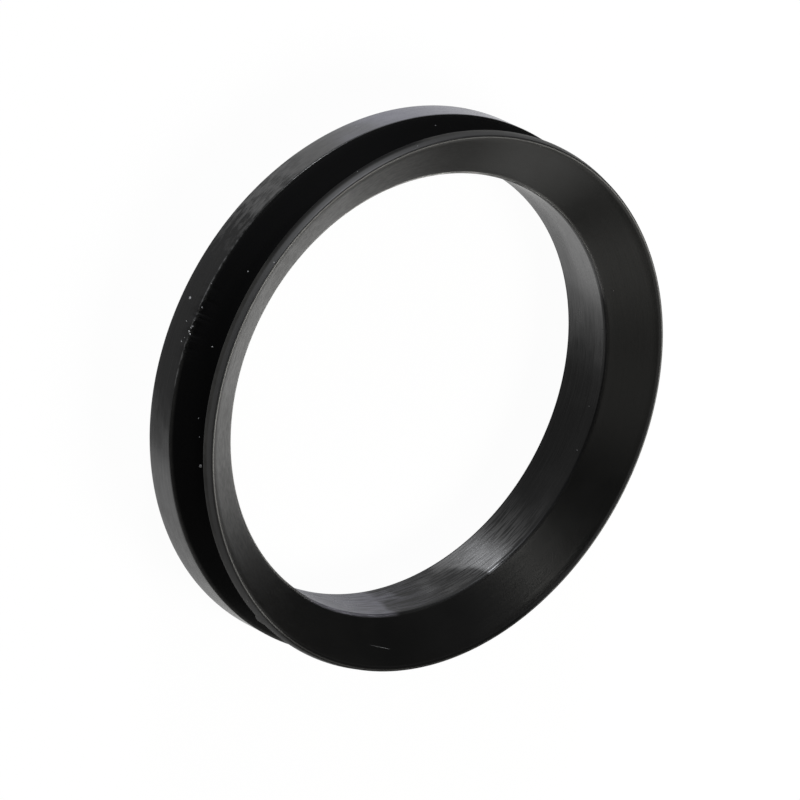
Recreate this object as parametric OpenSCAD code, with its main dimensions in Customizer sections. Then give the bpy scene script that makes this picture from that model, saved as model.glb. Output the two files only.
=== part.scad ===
// V-ring shaft seal: one moulded rubber ring with a flat back, a V groove and a flexible conical lip.
// Millimetres. The ring lies on its flat back with its axis on +Z, and the lip points up.

/* [Body] */
// Free bore diameter, before the ring is stretched on its shaft
bore_d = 45; // [36:1:58]
// Radial height of the body, from the bore to the outer band
section_h = 5; // [4.6:0.1:5.6]
// Axial width of the outer band, from the flat back to the mouth of the groove
band_w = 3.3; // [2.6:0.1:3.8]
// Axial length of the bore wall, from the flat back to the root of the lip
bore_w = 6.05; // [5.6:0.05:6.5]

/* [Lip] */
// Free width of the whole ring, from the flat back to the sealing line
free_w = 9.3; // [8.8:0.05:9.8]
// Radial distance from the bore to the sealing line
lip_reach = 4.45; // [4.0:0.05:4.7]
// Thickness of the lip at its outer end
lip_t = 1.1; // [0.9:0.05:1.3]
// Lean of the lip's outer end from the ring axis, in degrees
lip_end_lean = 15; // [0:1:30]

/* [Groove] */
// Thickness from the groove's floor to the lip's front face, where the lip bends
hinge_t = 1.3; // [1.1:0.05:1.5]
// Wall from the bore to the corner of the groove's floor
groove_wall = 1.3; // [1.1:0.05:1.6]
// Radius of the groove's floor
groove_r = 0.4; // [0.25:0.05:0.55]

/* [Edge radii] */
// Outer edge of the flat back
back_edge_r = 0.3; // [0.15:0.05:0.5]
// Edge of the bore at the flat back
bore_back_r = 0.35; // [0.15:0.05:0.5]
// Edge of the bore at the root of the lip
bore_front_r = 0.2; // [0.1:0.05:0.4]
// Edge of the outer band at the groove's mouth
band_edge_r = 0.12; // [0.08:0.02:0.3]
// Back edge of the lip's outer end
lip_back_r = 0.12; // [0.08:0.02:0.24]
// Sealing edge at the front of the lip
lip_edge_r = 0.2; // [0.12:0.02:0.3]

/* [Hidden] */
$fn = 180;

bore_r = bore_d / 2;
body_r = bore_r + section_h;

// The lip's front face runs from the bore's front corner and just touches the round sealing edge.
root = [bore_r, bore_w];
edge_c = [bore_r + lip_reach, free_w - lip_edge_r];
root_to_edge = edge_c - root;
face_a = atan2(root_to_edge[1], root_to_edge[0]) + asin(lip_edge_r / norm(root_to_edge));
face_n = [-sin(face_a), cos(face_a)];
end_n = [cos(lip_end_lean), sin(lip_end_lean)];
end_dir = [sin(lip_end_lean), -cos(lip_end_lean)];

// Sharp corners of the lip's end, before their edges are rounded.
lip_front = edge_c + (face_n + end_n) * lip_edge_r / (1 + face_n * end_n);
lip_back = lip_front + end_dir * lip_t / cos(face_a - lip_end_lean);

// Sharp corner of the groove's floor, one hinge thickness under the lip's front face.
floor_r = bore_r + groove_wall;
floor_z = bore_w + groove_wall * tan(face_a) - hinge_t / cos(face_a);

// The section's corners run anticlockwise, each with the radius of its edge.
corners = [
    [bore_r, 0],
    [body_r, 0],
    [body_r, band_w],
    [floor_r, floor_z],
    lip_back,
    lip_front,
    root
];
edge_radii = [bore_back_r, back_edge_r, band_edge_r, groove_r, lip_back_r, lip_edge_r, bore_front_r];
corner_n = len(corners);

// Each edge circle reaches this far past the two faces it joins, so that they cross and leave no gap.
overlap = 0.001;

function unit(v) = v / norm(v);
function turn(a, b) = a[0] * b[1] - a[1] * b[0];
function before(i) = corners[(i + corner_n - 1) % corner_n];
function after(i) = corners[(i + 1) % corner_n];
function dir_in(i) = unit(before(i) - corners[i]);
function dir_out(i) = unit(after(i) - corners[i]);
function half_angle(i) = acos(dir_in(i) * dir_out(i)) / 2;
function is_hollow(i) = turn(dir_out(i), dir_in(i)) < 0;
function depth(i) = edge_radii[i] - overlap;
function arc_centre(i) = corners[i] + unit(dir_in(i) + dir_out(i)) * depth(i) / sin(half_angle(i));
function touch_in(i) = corners[i] + dir_in(i) * depth(i) / tan(half_angle(i));
function touch_out(i) = corners[i] + dir_out(i) * depth(i) / tan(half_angle(i));

// The circle that rounds one edge.
module edge_circle(i) {
    translate(arc_centre(i)) circle(r = edge_radii[i]);
}

// The moulded section: each corner is cut back to the centre of its edge circle, which then fills or hollows it.
module section() {
    difference() {
        union() {
            polygon([for (i = [0 : corner_n - 1]) each [touch_in(i), arc_centre(i), touch_out(i)]]);
            for (i = [0 : corner_n - 1]) if (!is_hollow(i)) edge_circle(i);
        }
        for (i = [0 : corner_n - 1]) if (is_hollow(i)) edge_circle(i);
    }
}

// The ring is the section turned once round its axis.
module v_ring() {
    color([0.035, 0.035, 0.037])
        rotate_extrude()
            section();
}

v_ring();
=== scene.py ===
# %% [markdown]
# # A rubber V-ring seal
# The object is one moulded ring of black rubber. Its thick body grips a shaft, and its thin conical lip
# runs against a flat face to keep dirt out of a bearing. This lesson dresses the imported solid: it turns a
# fine copy of the section round the ring's axis, gives it worn moulded rubber, and adds the few specks and
# torn crumbs that sit on it.

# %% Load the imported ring
import math
import bmesh
import bpy
from mathutils import Matrix, Vector
from mathutils.bvhtree import BVHTree


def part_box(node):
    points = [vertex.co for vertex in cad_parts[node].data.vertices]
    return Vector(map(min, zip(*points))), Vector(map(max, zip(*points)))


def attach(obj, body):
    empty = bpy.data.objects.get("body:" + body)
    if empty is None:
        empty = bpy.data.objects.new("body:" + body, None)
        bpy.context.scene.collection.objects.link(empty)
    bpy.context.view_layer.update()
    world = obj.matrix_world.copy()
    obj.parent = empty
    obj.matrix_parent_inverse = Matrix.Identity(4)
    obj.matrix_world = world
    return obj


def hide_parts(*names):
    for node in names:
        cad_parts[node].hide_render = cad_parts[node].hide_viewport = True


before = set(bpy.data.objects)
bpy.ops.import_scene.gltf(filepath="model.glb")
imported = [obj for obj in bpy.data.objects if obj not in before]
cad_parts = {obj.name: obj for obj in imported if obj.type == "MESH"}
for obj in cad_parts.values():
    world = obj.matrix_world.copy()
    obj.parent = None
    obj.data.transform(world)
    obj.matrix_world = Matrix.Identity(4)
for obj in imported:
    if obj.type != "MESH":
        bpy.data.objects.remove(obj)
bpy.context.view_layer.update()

MM = 0.001
ring_low, ring_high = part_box("v_ring")
print("CAD ring, mm:", [round(v / MM, 2) for v in ring_high - ring_low])

# %% [markdown]
# ## The section
# The ring is the same all the way round, so the corners of its section and their edge radii say almost
# everything about it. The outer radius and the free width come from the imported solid, and the other sizes
# repeat the part's own driving dimensions, so the turned copy lies on the solid. One corner is added here:
# a faint crease in the bore, from which the wall leans in by a twentieth of a millimetre to the lip.

# %% Corners of the section
bore_r = 22.5 * MM
body_r = ring_high.x
free_w = ring_high.z
band_w = 3.3 * MM
bore_w = 6.05 * MM
lip_reach = 4.45 * MM
lip_t = 1.1 * MM
lip_end_lean = math.radians(15)
hinge_t = 1.3 * MM
groove_wall = 1.3 * MM
edge_r = {
    "bore back": 0.35 * MM,
    "band back": 0.3 * MM,
    "band front": 0.12 * MM,
    "groove floor": 0.4 * MM,
    "lip back": 0.12 * MM,
    "lip edge": 0.2 * MM,
    "bore front": 0.2 * MM,
    "bore crease": 0.8 * MM,
}
crease_w = 4.4 * MM
crease_in = 0.05 * MM


def section_corners():
    """The section's sharp corners as (radius, height), by the name of the edge that rounds each one."""
    root = Vector((bore_r, bore_w))
    edge_c = Vector((bore_r + lip_reach, free_w - edge_r["lip edge"]))
    reach = edge_c - root
    face_a = math.atan2(reach.y, reach.x) + math.asin(edge_r["lip edge"] / reach.length)
    face_n = Vector((-math.sin(face_a), math.cos(face_a)))
    end_n = Vector((math.cos(lip_end_lean), math.sin(lip_end_lean)))
    end_dir = Vector((math.sin(lip_end_lean), -math.cos(lip_end_lean)))
    lip_front = edge_c + (face_n + end_n) * edge_r["lip edge"] / (1 + face_n.dot(end_n))
    lip_back = lip_front + end_dir * lip_t / math.cos(face_a - lip_end_lean)
    floor_z = bore_w + groove_wall * math.tan(face_a) - hinge_t / math.cos(face_a)
    return {
        "bore back": Vector((bore_r, 0)),
        "band back": Vector((body_r, 0)),
        "band front": Vector((body_r, band_w)),
        "groove floor": Vector((bore_r + groove_wall, floor_z)),
        "lip back": lip_back,
        "lip edge": lip_front,
        "bore front": root - Vector((crease_in, 0)),
        "bore crease": Vector((bore_r, crease_w)),
    }


corners = section_corners()
for name, corner in corners.items():
    print(f"{name}: radius {corner.x / MM:.2f} mm, height {corner.y / MM:.2f} mm")

# %% [markdown]
# ## Nodes as arithmetic
# Both the Geometry Nodes and the shaders below are built from sockets. One small class wraps a socket, so
# that `1 - mask * 0.3` adds the Math nodes by itself, and one method adds any other node.

# %% A socket that can be used in sums
class Wire:
    """A node's output that can be used in arithmetic, or to add another node to the same tree."""

    def __init__(self, tree, socket=None):
        self.tree = tree
        self.socket = socket

    def add(self, kind, settings=None, inputs=None, output=0):
        """Adds a node: its settings first, then its sockets by name or number. Returns one output."""
        node = self.tree.nodes.new(kind)
        for key, value in (settings or {}).items():
            setattr(node, key, value)
        for key, value in (inputs or {}).items():
            if isinstance(value, Wire):
                self.tree.links.new(value.socket, node.inputs[key])
            else:
                node.inputs[key].default_value = value
        return Wire(self.tree, node.outputs[output] if node.outputs else None)

    def other(self, output):
        """Another output of the node that this wire comes from."""
        return Wire(self.tree, self.socket.node.outputs[output])

    def math(self, operation, *values):
        """A Math node on this wire and the other values."""
        inputs = {i: v for i, v in enumerate((self, *values))}
        return self.add("ShaderNodeMath", {"operation": operation}, inputs)

    def swapped(self, operation, value):
        """A Math node with this wire as its second value, as in 1 - mask."""
        return self.add("ShaderNodeMath", {"operation": operation}, {0: value, 1: self})

    def __add__(self, value):
        return self.math("ADD", value)

    __radd__ = __add__

    def __sub__(self, value):
        return self.math("SUBTRACT", value)

    def __rsub__(self, value):
        return self.swapped("SUBTRACT", value)

    def __mul__(self, value):
        return self.math("MULTIPLY", value)

    __rmul__ = __mul__

    def __truediv__(self, value):
        return self.math("DIVIDE", value)

    def __rtruediv__(self, value):
        return self.swapped("DIVIDE", value)

    def between(self, low, high):
        """0 below low, 1 above high and a smooth step between them."""
        settings = {"interpolation_type": "SMOOTHSTEP"}
        return self.add("ShaderNodeMapRange", settings, {"Value": self, "From Min": low, "From Max": high})


print("sockets can now be added and scaled")

# %% [markdown]
# ## The camera
# The photograph looks at the lip from the front and to one side. The ring lies on its flat back here,
# because it can't stand up by itself, so the camera looks down on it and is rolled to keep the same view.
# A long lens keeps the near and the far side of the ring almost the same size.

# %% Camera at the photograph's angle
view_tilt = math.radians(43.67)
view_roll = math.radians(116.49)
view_aim = Vector((1.34, 3.36, 0.0)) * MM
view_distance = 578.2 * MM
lens_mm = 270.0
sensor_mm = 36.0
image_px = 800

view_back = Vector((0, -math.sin(view_tilt), math.cos(view_tilt)))
level_right = Vector((1, 0, 0))
level_up = view_back.cross(level_right)
view_right = math.cos(view_roll) * level_right + math.sin(view_roll) * level_up
view_up = math.cos(view_roll) * level_up - math.sin(view_roll) * level_right
eye = view_aim + view_back * view_distance

lens = bpy.data.cameras.new("view")
lens.lens = lens_mm
lens.sensor_width = sensor_mm
lens.clip_start = 0.01
lens.clip_end = 20
camera = bpy.data.objects.new("view", lens)
turn = Matrix((view_right, view_up, view_back)).transposed()
camera.matrix_world = Matrix.Translation(eye) @ turn.to_4x4()
bpy.context.scene.collection.objects.link(camera)
bpy.context.scene.camera = camera


def sight(pixel):
    """The direction from the eye through a pixel of the photograph."""
    across = (pixel[0] + 0.5 - image_px / 2) / image_px * sensor_mm / lens_mm
    down = (pixel[1] + 0.5 - image_px / 2) / image_px * sensor_mm / lens_mm
    return (view_right * across - view_up * down - view_back).normalized()


print("camera elevation, degrees:", round(90 - math.degrees(view_tilt), 2))

# %% [markdown]
# ## Black rubber
# The ring is moulded in one black rubber, which sends back only a little light. What is seen of it is mostly
# its sheen, so one face is told from the next by gloss and not by colour. Each face could be painted by hand.
# Here masks are worked out from the sizes of the section instead, and one material carries every finish.
# Each point keeps its place on the moulded section as an attribute, because the soft ring is bent later on.

# %% Where a point is on the ring
rubber = bpy.data.materials.new("black_rubber")
rubber.use_nodes = True
rubber.node_tree.nodes.clear()
shade = Wire(rubber.node_tree)
place = shade.add("ShaderNodeTexCoord", output="Object")
x = shade.add("ShaderNodeSeparateXYZ", inputs={0: place})
y = x.other("Y")
from_axis = (x * x + y * y).math("SQRT")
moulded_place = shade.add("ShaderNodeAttribute", {"attribute_name": "section_place"}, output="Vector")
radius_m = shade.add("ShaderNodeSeparateXYZ", inputs={0: moulded_place})
radius = radius_m / MM
height = radius_m.other("Z") / MM
print("the finish reads the attribute section_place, here in millimetres")

# %% Masks for the faces of the section
bore_mm = bore_r / MM
body_mm = body_r / MM
band_mm = band_w / MM
root_mm = bore_w / MM
seal_mm = (bore_r + lip_reach) / MM
wide_mm = free_w / MM
lip_face = corners["lip edge"] - corners["bore front"]
lip_slope = lip_face.y / lip_face.x

in_bore = 1 - radius.between(bore_mm + 0.05, bore_mm + 0.3)
below_mouth = 1 - height.between(band_mm - 0.1, band_mm + 0.1)
near_root = height.between(root_mm - 0.4, root_mm - 0.25)
bore_rear = (1 - height.between(0.25, 0.4)) * (1 - radius.between(bore_mm + 0.4, bore_mm + 0.6))
bore_edge = (1 - radius.between(bore_mm + 0.2, bore_mm + 0.3)) * near_root
on_band = radius.between(body_mm - 0.15, body_mm - 0.05) * below_mouth
band_edge = radius.between(body_mm - 0.3, body_mm - 0.15) * height.between(band_mm - 0.2, band_mm - 0.08)
lip_tip = radius.between(seal_mm - 0.35, seal_mm - 0.2) * height.between(wide_mm - 2.5, wide_mm - 2.1)
sealing_edge = lip_tip * height.between(wide_mm - 0.7, wide_mm - 0.5)
lip_end = lip_tip - sealing_edge
behind_lip = ((radius - bore_mm) * lip_slope + root_mm - height).between(0.5, 0.9)
on_lip = (1 - behind_lip) * (1 - in_bore)
past_hinge = radius.between(bore_mm + 0.7, bore_mm + 1.0) * height.between(band_mm, band_mm + 0.2)
in_groove = behind_lip * (1 - lip_tip) * past_hinge
print("slope of the lip's face:", round(lip_slope, 3))

# %% [markdown]
# ## Turning lines, smudges and grain
# Fine lines run round the ring, as a turned mould leaves them on rubber. Here they are noise that is drawn
# out: it changes a few times in one turn and many times in each millimetre of the section. The lines are
# deepest in the bore. Smudges change the gloss, and a fine grain breaks it up.

# %% Noise drawn out round the ring
def lines(turns, per_mm, detail):
    """Noise that changes a few times in one turn, and many times in each millimetre of the section."""
    along = (radius * 0.8 + height) * per_mm
    parts = {0: x / from_axis * turns, 1: y / from_axis * turns, 2: along}
    spot = shade.add("ShaderNodeCombineXYZ", inputs=parts)
    return shade.add("ShaderNodeTexNoise", inputs={"Vector": spot, "Scale": 1.0, "Detail": detail})


fine = lines(7.0, 11.0, 2.0)
broad = lines(2.5, 2.2, 2.0)
streaks = lines(9.0, 7.0, 3.0).between(0.45, 0.62)
mottle = lines(24.0, 3.2, 4.0).between(0.36, 0.70)
rubbed = lines(34.0, 2.4, 4.0).between(0.38, 0.64)
smudge = shade.add("ShaderNodeTexNoise", inputs={"Vector": place, "Scale": 180.0, "Detail": 2.0})
grain = shade.add("ShaderNodeTexNoise", inputs={"Vector": place, "Scale": 7000.0, "Detail": 2.0})

fine_mm = 0.03
broad_mm = 0.04
grain_mm = 0.005
turned = fine * fine_mm + broad * broad_mm
relief = turned * (0.16 + 0.8 * in_bore + 0.3 * on_band) + grain * grain_mm
bump = shade.add("ShaderNodeBump", inputs={"Strength": 1.0, "Distance": MM, "Height": relief})
print("relief of the turning lines, mm: up to", fine_mm + broad_mm)

# %% [markdown]
# ## Finishes of the rubber
# Moulded rubber is a black glossy solid, and all its finishes here are the same black with another gloss. The
# bore is brushed: its lines draw a highlight out across them, which the shader calls anisotropic. A bluish
# tint of the sheen at two places is a painted reflection of cool light, and a warm tint of the moulded faces'
# sheen is a painted reflection of warm light. The dull finish is rougher and mirrors less: where it is blended
# in it paints shade, and on the lip it is also rubbed rubber. Glossier finishes paint highlights.

# %% Gloss of each finish
rubber_black = (0.0015, 0.0015, 0.0015, 1)


def rubber_face(rough, ior, brushed=0.0, tint=(1.0, 1.0, 1.0)):
    """One finish of the rubber: its roughness, how strongly it mirrors, its brushing and its sheen's tint."""
    return shade.add(
        "ShaderNodeBsdfPrincipled",
        inputs={
            "Base Color": rubber_black,
            "Roughness": rough,
            "IOR": ior,
            "Specular Tint": (*tint, 1),
            "Anisotropic": brushed,
            "Anisotropic Rotation": 0.25,
            "Normal": bump,
        },
    )


# Painted reflections: these bluish tints colour the sheen of the bore and the band like cool light.
bore_painted_reflection_tint = (0.82, 0.82, 1.0)
band_painted_reflection_tint = (0.86, 0.86, 1.0)
# Painted reflection: a warm tint of the moulded faces' sheen, like warm light.
painted_warm_reflection_tint = (1.0, 0.99, 0.94)
moulded_face = rubber_face(0.22 + 0.14 * smudge + 0.06 * fine, 1.45, tint=painted_warm_reflection_tint)
# The dull finish paints shade where it is blended in; on the lip it is rubbed rubber.
dull_face_wear_and_painted_shade = rubber_face(0.44 + 0.10 * smudge, 1.3)
bore_face = rubber_face(0.24 + 0.08 * smudge, 2.0, 0.95)
# Painted highlight: a glossier copy of the bore's finish, blended in at a fixed stretch.
bore_painted_highlight = rubber_face(0.22 + 0.08 * smudge, 2.6, 0.95)
bore_painted_cool_reflection = rubber_face(0.24 + 0.08 * smudge, 2.25, 0.95, bore_painted_reflection_tint)
band_face = rubber_face(0.14 + 0.10 * smudge, 1.8)
band_painted_cool_reflection = rubber_face(0.14 + 0.10 * smudge, 2.9, tint=band_painted_reflection_tint)
# Painted shade: the dullest finish, used where shade falls.
painted_shade_face = rubber_face(0.55, 1.15)
edge_face = rubber_face(0.55, 1.55)
torn_face = rubber_face(0.6, 2.0)
print("nodes so far:", len(rubber.node_tree.nodes))

# %% [markdown]
# ## Stretches of one finish
# Some stretches of the ring are made dull, and others glossy, at fixed angles round the ring. The dull
# stretches are painted shade, much of it the ring's shadow on the floor as the rubber would mirror it, and the
# glossy ones are painted highlights and reflections.
# Each stretch has a middle, and it is full and then gone at two distances from there. Smudges make its ends
# uneven. Masks and stretches are shares from 0 to 1, and Mix Shader nodes blend the finishes by them.

# %% Stretches of the ring's way round
stretch_unevenness = 0.12


def stretch(middle, half_full, half_none):
    """1 on a stretch of the way round: its middle, and where it begins and ends to fade, in degrees."""
    middle = math.radians(middle)
    facing = (x * math.cos(middle) + y * math.sin(middle)) / from_axis
    full = math.cos(math.radians(half_full))
    none = math.cos(math.radians(half_none))
    return (facing + (smudge - 0.5) * stretch_unevenness).between(none, full)


def blend(share, first, second):
    """The first finish where the share is 0, and the second where it is 1."""
    share = share.math("MAXIMUM", 0).math("MINIMUM", 1)
    return shade.add("ShaderNodeMixShader", inputs={0: share, 1: first, 2: second})


print("a stretch takes its middle and two half widths, in degrees")

# %% Bore and band
# Painted highlight and painted cool reflection: glossier finishes at fixed stretches of the bore.
bore_with_painted_highlights = blend(stretch(164, 14, 36) * height.between(1.5, 3.5), bore_face, bore_painted_highlight)
bore_with_painted_highlights = blend(stretch(17, 14, 32), bore_with_painted_highlights, bore_painted_cool_reflection)
# Painted shade: a duller finish at fixed stretches of the bore and along its front edge. The brushed streaks
# are the rubber's own lines.
bore_painted_shade_and_streaks = stretch(95, 10, 36).math("MAXIMUM", stretch(101, 4, 40)) + 0.75 * stretch(41, 8, 15)
bore_painted_shade_and_streaks = bore_painted_shade_and_streaks + (0.4 - 0.3 * stretch(145, 35, 50)) * streaks
bore_painted_shade_and_streaks = bore_painted_shade_and_streaks + 0.7 * bore_edge * stretch(110, 78, 90)
bore = blend(bore_painted_shade_and_streaks, bore_with_painted_highlights, dull_face_wear_and_painted_shade)

# Painted highlight and painted cool reflection at the top of the band.
band_with_painted_highlight = blend(stretch(203, 12, 30), band_face, band_painted_cool_reflection)
# Painted shade: a duller finish at fixed stretches of the band and along its front edge. The mottle is the
# rubber's own grain.
band_painted_shade_and_mottle = stretch(279, 9, 32) + 0.4 * stretch(344, 10, 28) + 0.5 * band_edge
band_painted_shade_and_mottle = band_painted_shade_and_mottle + (0.1 + 0.7 * stretch(262, 12, 28)) * mottle
band = blend(band_painted_shade_and_mottle, band_with_painted_highlight, dull_face_wear_and_painted_shade)
band = blend(band_edge * stretch(270, 14, 22) * rubbed, band, torn_face)
print("finishes of the bore and the band blended")

# %% Lip and groove
far_side = stretch(110, 100, 138)
lip = blend(0.35 * rubbed * stretch(285, 60, 90), moulded_face, dull_face_wear_and_painted_shade)
lip = blend(sealing_edge, lip, edge_face)
faces = blend(on_band, blend(in_bore, lip, bore), band)
# Painted shade: the groove, the bore's rear edge, the lip's end and its sealing edge take the dullest finish,
# more of it on the far side.
lip_end_painted_shade = 0.25 + 0.4 * far_side + 0.35 * stretch(328, 14, 34)
sealing_edge_painted_shade = 0.25 * far_side + 0.5 * stretch(10, 45, 75) + 0.3 * stretch(212, 28, 50)
painted_shade_share = in_groove + bore_rear + lip_end_painted_shade * lip_end + sealing_edge_painted_shade * sealing_edge
# More painted shade, at fixed stretches of the band's front edge, the lip and the bore.
painted_shade_share = painted_shade_share + 0.6 * stretch(242, 10, 24) * band_edge
painted_shade_share = painted_shade_share + 0.4 * stretch(22, 22, 44) * on_lip + 0.5 * stretch(94, 8, 24) * in_bore
shade.add("ShaderNodeOutputMaterial", inputs={"Surface": blend(painted_shade_share, faces, painted_shade_face)})
print("finish:", rubber.name, len(rubber.node_tree.nodes), "nodes")

# %% [markdown]
# ## The turned ring
# A lathe makes this shape from its section, and so does a small Geometry Nodes tree. It rounds the corners,
# cuts the long faces into short steps, and then bends a flat grid: one way of the grid follows the section
# and the other way goes once round the axis. The two seams are merged, so the ring is closed.
# The free rubber is soft: it lies a little out of round, and its lip waves a little. Both are inputs of the
# tree, and so are two marks of this ring, nicks on the band's front edge and a tab of moulding flash behind
# the lip. They could be sculpted by hand, but a rule with named inputs is easier to change.

# %% Named inputs of a tree
def tree_inputs(tree, kinds):
    """Adds a tree's inputs from their names and kinds. Returns the identifier of each one."""
    ids = {}
    for name, kind in kinds.items():
        socket = tree.interface.new_socket(name, in_out="INPUT", socket_type="NodeSocket" + kind)
        ids[name] = socket.identifier
    return ids


turning_inputs = {
    "Section": "Geometry",
    "Edge steps": "Int",
    "Face step": "Float",
    "Steps round": "Int",
    "Oval": "Float",
    "Oval way": "Float",
    "Oval turn": "Float",
    "Lip wave": "Float",
    "Wave way": "Float",
    "Nick depth": "Float",
    "Nick way": "Float",
    "Nick spread": "Float",
    "Flash tab": "Float",
    "Flash way": "Float",
    "Flash spread": "Float",
    "Finish": "Material",
}
print("inputs of the turning tree:", len(turning_inputs))

# %% Round the corners and cut the faces into steps
def stepped_section(given):
    """The section as a curve with round corners and short steps."""
    here = given.add("GeometryNodeInputPosition")
    index = given.add("GeometryNodeInputIndex")
    edge = given.add("GeometryNodeInputNamedAttribute", {"data_type": "FLOAT"}, {"Name": "edge_radius"})
    loop = given.add("GeometryNodeMeshToCurve", inputs={0: given.other("Section")})
    rounding = {0: loop, "Count": given.other("Edge steps"), "Radius": edge}
    rounded = given.add("GeometryNodeFilletCurve", {"mode": "POLY"}, rounding)
    following = given.add("GeometryNodeOffsetPointInCurve", inputs={0: index, 1: 1}, output=1)
    beside = {"Index": following, "Value": here}
    there = given.add("GeometryNodeFieldAtIndex", {"data_type": "FLOAT_VECTOR"}, beside)
    length = given.add("ShaderNodeVectorMath", {"operation": "DISTANCE"}, {0: here, 1: there}, output=1)
    cuts = (length / given.other("Face step")).math("FLOOR")
    return given.add("GeometryNodeSubdivideCurve", inputs={0: rounded, "Cuts": cuts})


print("a point of the section knows its edge radius by the attribute edge_radius")

# %% A flat grid that follows the section
vectors_at_points = {"data_type": "FLOAT_VECTOR", "domain": "POINT"}


def grid_on_section(given, section):
    """A flat grid, with each point's place on the section and its angle round the axis."""
    here = given.add("GeometryNodeInputPosition")
    index = given.add("GeometryNodeInputIndex")
    curve = {"component": "CURVE"}
    count = given.add("GeometryNodeAttributeDomainSize", curve, {0: section}, output="Point Count")
    rows = count + 1
    columns = given.other("Steps round") + 1
    sides = {"Size X": 1.0, "Size Y": 1.0, "Vertices X": columns, "Vertices Y": rows}
    grid = given.add("GeometryNodeMeshGrid", inputs=sides)
    column = ((index + 0.5) / rows).math("FLOOR")
    row = (index - column * rows).math("MODULO", count)
    lookup = {0: section, "Value": here, "Index": row}
    on_section = given.add("GeometryNodeSampleIndex", vectors_at_points, lookup)
    angle = column / given.other("Steps round") * math.tau
    return grid, on_section, angle


print("one row and one column of the grid are doubled, and merge at the seams")

# %% Nicks and a tab of flash
nick_reach = 0.45 * MM
nick_drop = 0.8
torn_scale = 3400.0
torn_from = 0.42
torn_steep = 6
tab_reach = 0.3 * MM
tab_lean = 0.3


def near_edge(out, up, name, reach):
    """1 at a corner of the section, and 0 from a reach away from it."""
    aside = out - corners[name].x
    above = up - corners[name].y
    return (1 - (aside * aside + above * above).math("SQRT") / reach).math("MAXIMUM", 0)


def near_way(given, angle, mark):
    """1 at a mark's angle round the ring, and 0 from its spread away from it."""
    away = (angle - given.other(mark + " way")).math("ABSOLUTE")
    return (1 - away / given.other(mark + " spread")).math("MAXIMUM", 0)


def nick_depth(given, out, up, angle):
    """How far the band's front edge is torn away: deepest at the nick's middle, and ragged by noise."""
    spot = given.add("ShaderNodeCombineXYZ", inputs={0: angle * body_r, 1: out, 2: up})
    torn = given.add("ShaderNodeTexNoise", inputs={"Vector": spot, "Scale": torn_scale, "Detail": 3.0})
    ragged = ((torn - torn_from) * torn_steep).math("MAXIMUM", 0).math("MINIMUM", 1)
    share = near_way(given, angle, "Nick").math("SQRT") * near_edge(out, up, "band front", nick_reach)
    return given.other("Nick depth") * share * ragged


def tab_length(given, out, up, angle):
    """How far the tab of flash hangs down from the lip's back edge."""
    share = near_way(given, angle, "Flash").math("SQRT")
    return given.other("Flash tab") * share * near_edge(out, up, "lip back", tab_reach)


print("reach of a nick, mm:", round(nick_reach / MM, 2), "and of the tab:", round(tab_reach / MM, 2))

# %% Bend the grid into the soft ring
def bent_ring(given, grid, on_section, angle):
    """The grid bent round the axis, out of round, waved and marked. It keeps its place on the section."""
    out = given.add("ShaderNodeSeparateXYZ", inputs={0: on_section}, output="X")
    up = out.other("Z")
    lip_share = up / free_w
    oval_way = given.other("Oval way") + given.other("Oval turn") * lip_share
    oval = given.other("Oval") * ((angle - oval_way) * 2).math("COSINE")
    wave = given.other("Lip wave") * ((angle - given.other("Wave way")) * 2).math("COSINE")
    nick = nick_depth(given, out, up, angle)
    tab = tab_length(given, out, up, angle)
    far = out + oval - nick + tab * tab_lean
    high = up + wave * lip_share - nick * nick_drop - tab
    parts = {0: far * angle.math("COSINE"), 1: far * angle.math("SINE"), 2: high}
    bent_place = given.add("ShaderNodeCombineXYZ", inputs=parts)
    kept = {0: grid, "Name": "section_place", "Value": on_section}
    marked = given.add("GeometryNodeStoreNamedAttribute", vectors_at_points, kept)
    return given.add("GeometryNodeSetPosition", inputs={0: marked, "Position": bent_place})


print("the wave grows from the flat back to the lip")

# %% The whole turning tree
seam_gap = 0.0005 * MM


def turning_tree():
    """A tree that turns a section once round the axis, and the identifiers of its inputs."""
    tree = bpy.data.node_groups.new("turned_section", "GeometryNodeTree")
    ids = tree_inputs(tree, turning_inputs)
    tree.interface.new_socket("Ring", in_out="OUTPUT", socket_type="NodeSocketGeometry")
    given = Wire(tree).add("NodeGroupInput")
    grid, on_section, angle = grid_on_section(given, stepped_section(given))
    bent = bent_ring(given, grid, on_section, angle)
    closed = given.add("GeometryNodeMergeByDistance", inputs={0: bent, "Distance": seam_gap})
    smooth = given.add("GeometryNodeSetShadeSmooth", inputs={0: closed, "Shade Smooth": True})
    real = given.add("GeometryNodeRealizeInstances", inputs={0: smooth})
    done = given.add("GeometryNodeSetMaterial", inputs={0: real, "Material": given.other("Finish")})
    given.add("NodeGroupOutput", inputs={0: done})
    return tree, ids


lathe, lathe_ids = turning_tree()
print("tree:", lathe.name, len(lathe.nodes), "nodes")

# %% [markdown]
# ## From a tree to a plain piece
# A tree runs as a modifier on a small carrier mesh: here the loop of the section's corners. Its inputs are
# set by their identifiers, and the result is copied into a plain mesh.

# %% Run a tree and keep its result
def plain_mesh(carrier, name):
    """The carrier's evaluated result as an object of its own, with outward faces. The carrier is removed."""
    bpy.context.view_layer.update()
    evaluated = carrier.evaluated_get(bpy.context.evaluated_depsgraph_get())
    mesh = bpy.data.meshes.new_from_object(evaluated)
    bpy.data.objects.remove(carrier)
    mesh.name = name
    work = bmesh.new()
    work.from_mesh(mesh)
    bmesh.ops.recalc_face_normals(work, faces=work.faces)
    work.to_mesh(mesh)
    work.free()
    piece = bpy.data.objects.new(name, mesh)
    bpy.context.scene.collection.objects.link(piece)
    return piece


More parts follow.
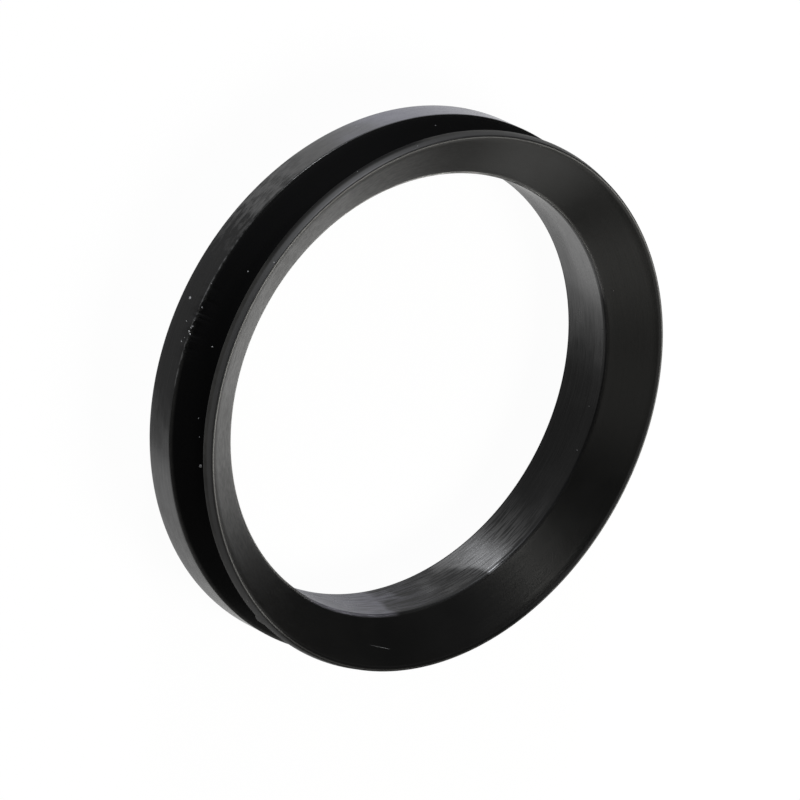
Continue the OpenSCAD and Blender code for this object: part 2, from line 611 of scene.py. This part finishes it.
def shaped(carrier, tree, ids, settings, name):
    """Runs a tree on a carrier, with its inputs set, and returns the result as a plain piece."""
    modifier = carrier.modifiers.new(name, "NODES")
    modifier.node_group = tree
    for key, value in settings.items():
        modifier[ids[key]] = value
    return plain_mesh(carrier, name)


def section_carrier():
    """The section's corners joined in a loop, each with the radius of its edge."""
    loop = [(c.x, 0, c.y) for c in corners.values()]
    joins = [(i, (i + 1) % len(loop)) for i in range(len(loop))]
    mesh = bpy.data.meshes.new("section")
    mesh.from_pydata(loop, joins, [])
    radii = mesh.attributes.new("edge_radius", "FLOAT", "POINT")
    radii.data.foreach_set("value", [edge_r[name] for name in corners])
    carrier = bpy.data.objects.new("section", mesh)
    bpy.context.scene.collection.objects.link(carrier)
    return carrier


print("corners in the loop:", len(corners))

# %% Turn the section into the ring
ring_settings = {
    "Edge steps": 5,
    "Face step": 0.9 * MM,
    "Steps round": 1200,
    "Oval": 0.45 * MM,
    "Oval way": math.radians(-74),
    "Oval turn": math.radians(-11),
    "Lip wave": 0.34 * MM,
    "Wave way": math.radians(-11),
    "Nick depth": 0.16 * MM,
    "Nick way": math.radians(277),
    "Nick spread": math.radians(8),
    "Flash tab": 0.4 * MM,
    "Flash way": math.radians(342),
    "Flash spread": math.radians(1.6),
    "Finish": rubber,
}
ring = shaped(section_carrier(), lathe, lathe_ids, ring_settings, "rubber_ring")
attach(ring, "root")
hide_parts("v_ring")
print("ring:", len(ring.data.vertices), "points,", len(ring.data.polygons), "faces")

# %% [markdown]
# ## Specks and crumbs
# A few grains of pale dust lie in the groove and on the lip, and torn crumbs hang on the nicked edge. Each is
# found by looking through its pixel of the photograph at the ring, so it lies on the rubber from any side.
# Geometry Nodes put one small lump on every point: each point carries its own length, width and height.
# A fine scratch on the lip is one more lump, drawn out long and thin.

# %% Where the specks lie
speck_size = {"grain": 0.09 * MM, "fleck": 0.16 * MM, "crumb": 0.28 * MM}
specks_px = {
    "groove, left": [("fleck", (247.5, 271)), ("fleck", (211.8, 346.4)), ("crumb", (200, 465.7))],
    "groove, low and top": [("grain", (198, 418)), ("grain", (199, 436.7)), ("grain", (435, 125))],
    "nicked edge, upper": [("fleck", (201.5, 307)), ("grain", (211, 283))],
    "nicked edge, lower": [("fleck", (192, 326)), ("crumb", (188.7, 331))],
    "nicked band": [("fleck", (186, 320.6)), ("fleck", (181, 341)), ("crumb", (189.5, 297.5))],
    "torn edge, upper": [("fleck", (189.6, 333.5)), ("grain", (194, 320))],
    "torn edge, lower": [("fleck", (190.5, 327.5)), ("grain", (184, 337))],
    "lip end, left": [("fleck", (273.5, 262)), ("grain", (357, 171))],
    "lip end, top and low": [("grain", (417, 145.5)), ("fleck", (247, 600.6))],
    "lip face": [("grain", (540, 146)), ("grain", (613, 290))],
    "bore": [("grain", (588.6, 405.7)), ("grain", (576.6, 449.7)), ("fleck", (602.5, 329.5))],
    "band": [("grain", (355.5, 126))],
}
scratch_px = ((371, 645), (396, 650))
scratch_w = 0.016 * MM
scratch_h = 0.008 * MM
ring_points = [v.co for v in ring.data.vertices]
ring_faces = [tuple(p.vertices) for p in ring.data.polygons]
ring_tree = BVHTree.FromPolygons(ring_points, ring_faces)


def on_ring(pixel):
    """The point of the ring that is seen through a pixel of the photograph, and the way it faces."""
    point, facing, _, _ = ring_tree.ray_cast(eye, sight(pixel))
    return point, facing


print("specks:", sum(len(spots) for spots in specks_px.values()), "and one scratch")

# %% One point for each speck
points, sizes, ways, facings = [], [], [], []
for spots in specks_px.values():
    for kind, pixel in spots:
        point, facing = on_ring(pixel)
        size = speck_size[kind]
        points.append(point)
        sizes.append((size, size * 0.8, size * 0.6))
        ways.append(facing.orthogonal().normalized())
        facings.append(facing)

scratch_from, scratch_facing = on_ring(scratch_px[0])
scratch_to, _ = on_ring(scratch_px[1])
scratch = scratch_to - scratch_from
points.append((scratch_from + scratch_to) / 2)
sizes.append((scratch.length, scratch_w, scratch_h))
ways.append(scratch.normalized())
facings.append(scratch_facing)
print("scratch, mm:", round(scratch.length / MM, 2))

# %% A tree that puts a lump on every point
def speck_tree():
    """A tree that lays a small lump on each point, by the point's own size, way and facing."""
    tree = bpy.data.node_groups.new("specks", "GeometryNodeTree")
    ids = tree_inputs(tree, {"Points": "Geometry", "Seed": "Int", "Finish": "Material"})
    tree.interface.new_socket("Specks", in_out="OUTPUT", socket_type="NodeSocketGeometry")
    given = Wire(tree).add("NodeGroupInput")

    def stored(name):
        return given.add("GeometryNodeInputNamedAttribute", {"data_type": "FLOAT_VECTOR"}, {"Name": name})

    lump = given.add("GeometryNodeMeshIcoSphere", inputs={"Radius": 0.5, "Subdivisions": 2})
    upright = given.add("FunctionNodeAlignRotationToVector", {"axis": "Z"}, {"Vector": stored("facing")})
    about_up = {"axis": "X", "pivot_axis": "Z"}
    laying = {"Rotation": upright, "Vector": stored("way")}
    laid = given.add("FunctionNodeAlignRotationToVector", about_up, laying)
    least_and_most = {0: (0.75, 0.75, 0.75), 1: (1.25, 1.25, 1.25), "Seed": given.other("Seed")}
    uneven = given.add("FunctionNodeRandomValue", {"data_type": "FLOAT_VECTOR"}, least_and_most)
    scale = given.add("ShaderNodeVectorMath", {"operation": "MULTIPLY"}, {0: stored("size"), 1: uneven})
    placing = {"Points": given.other("Points"), "Instance": lump, "Rotation": laid, "Scale": scale}
    placed = given.add("GeometryNodeInstanceOnPoints", inputs=placing)
    real = given.add("GeometryNodeRealizeInstances", inputs={0: placed})
    done = given.add("GeometryNodeSetMaterial", inputs={0: real, "Material": given.other("Finish")})
    given.add("NodeGroupOutput", inputs={0: done})
    return tree, ids


strewing, strewing_ids = speck_tree()
print("tree:", strewing.name, len(strewing.nodes), "nodes")

# %% Strew the specks
def pale_dust():
    """Matt grey dust, the same all over."""
    material = bpy.data.materials.new("pale_dust")
    material.use_nodes = True
    face = material.node_tree.nodes["Principled BSDF"]
    face.inputs["Base Color"].default_value = (0.2, 0.2, 0.2, 1)
    face.inputs["Roughness"].default_value = 0.8
    return material


def points_carrier():
    """The speck points, each with its size, the way it lies and the way it faces."""
    mesh = bpy.data.meshes.new("speck_points")
    mesh.from_pydata(points, [], [])
    for name, values in (("size", sizes), ("way", ways), ("facing", facings)):
        stored = mesh.attributes.new(name, "FLOAT_VECTOR", "POINT")
        stored.data.foreach_set("vector", [v for vector in values for v in vector])
    carrier = bpy.data.objects.new("speck_points", mesh)
    bpy.context.scene.collection.objects.link(carrier)
    return carrier


speck_settings = {"Seed": 7, "Finish": pale_dust()}
specks = shaped(points_carrier(), strewing, strewing_ids, speck_settings, "specks")
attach(specks, "root")
print("specks:", len(specks.data.polygons), "faces")

# %% [markdown]
# ## Floor and light
# The photograph has a plain white ground. The floor is pale and catches the ring's soft shadow, and part of
# what the camera sees of it is a steady white, so the ground stays white without more light on the ring.
# The glossy rubber mirrors that white too. More lamps could do the same, but they would wash out the black.

# %% Pale floor
white_seen = 0.97
white_mirrored = 0.75


def pale_floor():
    """A matt pale sheet, of which the camera and the rubber's sheen see a steady white."""
    material = bpy.data.materials.new("pale_floor")
    material.use_nodes = True
    tree = material.node_tree
    tree.nodes.clear()
    start = Wire(tree)
    path = start.add("ShaderNodeLightPath", output="Is Camera Ray")
    seen = path * white_seen + path.other("Is Glossy Ray") * white_mirrored
    sheet = start.add("ShaderNodeBsdfDiffuse", inputs={"Color": (0.82, 0.82, 0.82, 1)})
    white = start.add("ShaderNodeEmission", inputs={"Color": (1, 1, 1, 1), "Strength": 1.0})
    mixed = start.add("ShaderNodeMixShader", inputs={0: seen, 1: sheet, 2: white})
    start.add("ShaderNodeOutputMaterial", inputs={"Surface": mixed})
    return material


floor_half = 3.0
floor_drop = 0.02 * MM
floor_mesh = bpy.data.meshes.new("floor")
floor_corners = ((-1, -1), (1, -1), (1, 1), (-1, 1))
floor_points = [(sx * floor_half, sy * floor_half, -floor_drop) for sx, sy in floor_corners]
floor_mesh.from_pydata(floor_points, [], [(0, 1, 2, 3)])
floor_mesh.materials.append(pale_floor())
floor = bpy.data.objects.new("floor", floor_mesh)
bpy.context.scene.collection.objects.link(floor)
print("floor, m:", 2 * floor_half)

# %% [markdown]
# ## Soft studio light
# A photograph of a black part is made by what the part mirrors. A large warm lamp behind the ring and a low
# cool lamp at its side give most of the light, and four weak lamps lift the lip where it would go black.
# Each lamp is given by its angle round the ring and above the floor, so it is easy to move.

# %% Round lamps about the ring
lamp_distance = 0.7


def soft_lamp(name, around, above, size, power, colour=(1, 1, 1)):
    """A round soft lamp that looks at the ring: its angle around the axis and above the floor, in degrees."""
    around = math.radians(around)
    above = math.radians(above)
    level = math.cos(above)
    towards = Vector((level * math.cos(around), level * math.sin(around), math.sin(above)))
    data = bpy.data.lights.new(name, "AREA")
    data.shape = "DISK"
    data.size = size
    data.energy = power
    data.color = colour
    lamp = bpy.data.objects.new(name, data)
    lamp.location = towards * lamp_distance
    lamp.rotation_mode = "QUATERNION"
    lamp.rotation_quaternion = towards.to_track_quat("Z", "Y")
    bpy.context.scene.collection.objects.link(lamp)
    return lamp


warm_white = (1.0, 0.985, 0.93)
cool_white = (0.93, 0.95, 1.0)
soft_lamp("back lamp", around=84, above=40, size=0.3, power=7.0, colour=warm_white)
soft_lamp("side lamp", around=214, above=12, size=0.2, power=7.5, colour=cool_white)
soft_lamp("right lamp", around=4, above=26, size=0.5, power=0.6)
soft_lamp("corner lamp", around=50, above=13, size=0.34, power=0.26)
soft_lamp("front lamp", around=212, above=52, size=0.14, power=0.3)
soft_lamp("front right lamp", around=320, above=50, size=0.5, power=0.3)

# %% A dim room
room_level = 0.01

world = bpy.data.worlds.new("studio")
world.use_nodes = True
room = world.node_tree.nodes["Background"]
room.inputs["Color"].default_value = (1, 1, 1, 1)
room.inputs["Strength"].default_value = room_level
bpy.context.scene.world = world
bpy.context.scene.view_settings.view_transform = "Standard"
print("light of the room:", room_level)

# %% [markdown]
# ## The last update
# The soft ring lies a little out of round, so its box differs slightly from the box of the imported solid.
# The last call updates the scene.

# %% Update the scene
bpy.context.view_layer.update()
